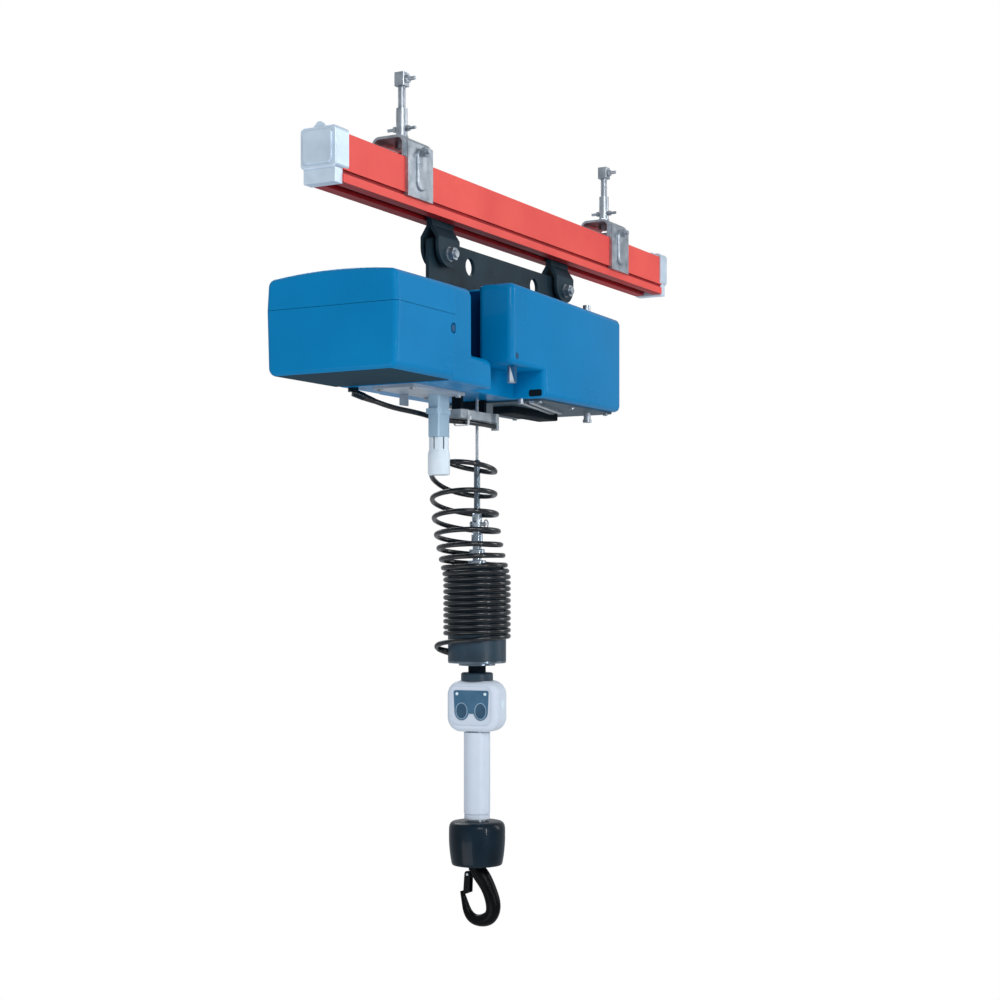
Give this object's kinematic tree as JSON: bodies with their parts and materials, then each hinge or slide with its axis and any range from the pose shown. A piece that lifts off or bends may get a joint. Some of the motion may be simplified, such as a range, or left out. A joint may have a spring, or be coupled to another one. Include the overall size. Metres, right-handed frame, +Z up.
{
  "type": "rope balancer with rail trolley",
  "caption": "Electric rope balancer that rolls along an overhead rail, with a curly cable, a push-button handle and a swivel safety hook.",
  "frame": {"origin": "midway between the two tapped hanger bores, in the top plane of their square blocks", "axes": "+X along the rail, toward its right end as seen with the control box on the left; +Z up; the control head looks toward -X"},
  "size_m": [1.13, 0.221, 1.3007],
  "materials": {
    "rail_red": "semi-gloss powder coat",
    "cap_silver": "satin",
    "zinc": "zinc plated",
    "wire_rope": "stranded wire",
    "black_steel": "black powder coat",
    "wheel_nylon": "moulded",
    "cover_blue": "glossy moulding",
    "black_plastic": "satin moulding",
    "motor_grey": "enamel",
    "post_blue_grey": "satin",
    "white_plastic": "satin moulding",
    "cable_black": "cable jacket",
    "keypad_blue": "printed foil",
    "lens_clear": "clear"
  },
  "bodies": {
    "runway": {"rail": "rail_red", "end_cap_left": "cap_silver", "end_cap_right": "cap_silver", "hanger_bridges": "zinc", "hanger_jaws": "zinc", "hanger_rods": "zinc", "hanger_sleeves": "zinc", "hanger_bolts": "zinc"},
    "hoist": {"trolley_yoke_left": "black_steel", "trolley_yoke_right": "black_steel", "trolley_bolts": "zinc", "trolley_spacers": "zinc", "suspension_plate": "black_steel", "base_plate": "black_steel", "control_cover_upper": "cover_blue", "control_cover_lower": "cover_blue", "gear_housing": "cover_blue", "drive_cover_near": "cover_blue", "drive_cover_far": "cover_blue", "base_tray": "cap_silver", "cable_plate": "zinc", "belly_box": "black_plastic", "housing_screws": "zinc", "cable_glands": "black_plastic", "control_unit": "black_plastic", "gearmotor": "motor_grey", "bearing_blocks": "zinc", "rope_guide": "black_plastic", "limit_bar": "zinc", "switch_lead": "cable_black", "cable_post": "post_blue_grey", "post_clip": "post_blue_grey", "guide_end": "white_plastic"},
    "wheels_1": {"wheelset_1": "wheel_nylon"},
    "wheels_2": {"wheelset_2": "wheel_nylon"},
    "wheels_3": {"wheelset_3": "wheel_nylon"},
    "wheels_4": {"wheelset_4": "wheel_nylon"},
    "drum": {"rope_drum": "zinc"},
    "rope_end": {"rope": "wire_rope", "rope_sleeve": "zinc", "rope_fork": "zinc", "fork_pin": "zinc", "rope_swivel": "zinc", "bell": "black_plastic", "bell_base": "zinc", "spiral_cord": "cable_black", "cord_tail": "cable_black"},
    "handle": {"handle_puck": "black_plastic", "head_front": "white_plastic", "head_back": "white_plastic", "keypad": "keypad_blue", "head_lenses": "lens_clear", "grip_core": "zinc", "lower_cap": "black_plastic"},
    "grip": {"grip_sleeve": "white_plastic"},
    "button_a": {"button_up": "keypad_blue"},
    "button_b": {"button_down": "keypad_blue"},
    "load_hook": {"hook": "black_steel", "latch_pin": "zinc"},
    "latch": {"hook_latch": "zinc"}
  },
  "joints": [
    {"name": "travel", "type": "slide", "parent": "runway", "child": "hoist", "axis": [1, 0, 0], "range_m": [-0.25, 0.32]},
    {"name": "wheel_spin_1", "type": "hinge", "parent": "hoist", "child": "wheels_1", "pos_m": [-0.259, 0, -0.1749], "axis": [0, 1, 0], "continuous": true},
    {"name": "wheel_spin_2", "type": "hinge", "parent": "hoist", "child": "wheels_2", "pos_m": [-0.209, 0, -0.1749], "axis": [0, 1, 0], "continuous": true},
    {"name": "wheel_spin_3", "type": "hinge", "parent": "hoist", "child": "wheels_3", "pos_m": [0.133, 0, -0.1749], "axis": [0, 1, 0], "continuous": true},
    {"name": "wheel_spin_4", "type": "hinge", "parent": "hoist", "child": "wheels_4", "pos_m": [0.183, 0, -0.1749], "axis": [0, 1, 0], "continuous": true},
    {"name": "lift", "type": "slide", "parent": "hoist", "child": "rope_end", "axis": [0, 0, -1], "range_m": [-0.04, 1.75], "deforming": ["rope", "spiral_cord"]},
    {"name": "drum_spin", "type": "hinge", "parent": "hoist", "child": "drum", "pos_m": [-0.12, 0.04, -0.363], "axis": [1, 0, 0], "continuous": true},
    {"name": "handle_swivel", "type": "hinge", "parent": "rope_end", "child": "handle", "pos_m": [-0.12, 0, -0.9], "axis": [0, 0, 1], "continuous": true},
    {"name": "grip_slide", "type": "slide", "parent": "handle", "child": "grip", "axis": [0, 0, 1], "range_m": [-0.0013, 0.0013], "stiffness_N_per_m": 9000},
    {"name": "press_up", "type": "slide", "parent": "handle", "child": "button_a", "axis": [0.9925, 0.1219, 0], "range_m": [0, 0.0012], "stiffness_N_per_m": 700},
    {"name": "press_down", "type": "slide", "parent": "handle", "child": "button_b", "axis": [0.9925, 0.1219, 0], "range_m": [0, 0.0012], "stiffness_N_per_m": 700},
    {"name": "hook_swivel", "type": "hinge", "parent": "handle", "child": "load_hook", "pos_m": [-0.12, 0, -1.2], "axis": [0, 0, 1], "continuous": true},
    {"name": "latch_open", "type": "hinge", "parent": "load_hook", "child": "latch", "pos_m": [-0.12, 0.014, -1.2188], "axis": [-1, 0, 0], "range_deg": [0, 34], "stiffness_Nm_per_rad": 0.05, "springref_deg": -22.92}
  ],
  "couplings": [
    {"joint": "wheel_spin_1", "follows": "travel", "rad_per_m": 45.455},
    {"joint": "wheel_spin_2", "follows": "travel", "rad_per_m": 45.455},
    {"joint": "wheel_spin_3", "follows": "travel", "rad_per_m": 45.455},
    {"joint": "wheel_spin_4", "follows": "travel", "rad_per_m": 45.455},
    {"joint": "drum_spin", "follows": "lift", "rad_per_m": 25}
  ]
}
